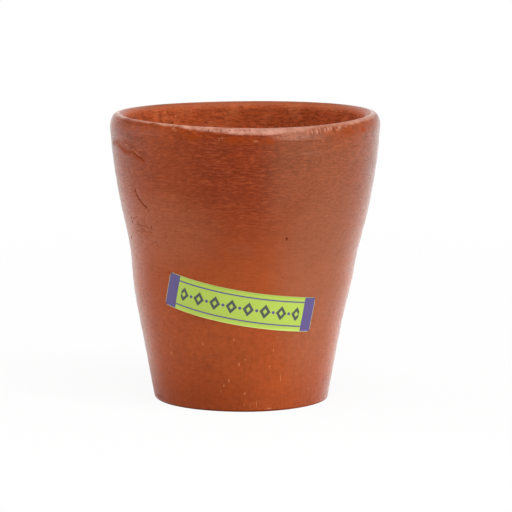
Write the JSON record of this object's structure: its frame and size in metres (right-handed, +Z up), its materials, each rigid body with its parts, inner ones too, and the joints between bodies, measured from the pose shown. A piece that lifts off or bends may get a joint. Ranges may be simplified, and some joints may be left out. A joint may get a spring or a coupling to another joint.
{
  "type": "clay kulhad cup",
  "caption": "Wheel-thrown unglazed terracotta tea cup that tapers to a flat foot, with a slight waist, a rounded lip and a plain paper label wrapped slantwise round its wall.",
  "frame": {"origin": "centre of the flat foot, on the surface that the cup stands on", "axes": "+Z up along the cup's axis, -Y towards the side with the label, +X to the right seen from that side"},
  "size_m": [0.085, 0.085, 0.09],
  "materials": {
    "terracotta": "unglazed fired clay with a slip wash, satin, with fine wheel lines",
    "label_paper": "printed adhesive paper, satin"
  },
  "bodies": {
    "root": {"cup_body": "terracotta", "paper_label": "label_paper"}
  },
  "joints": []
}
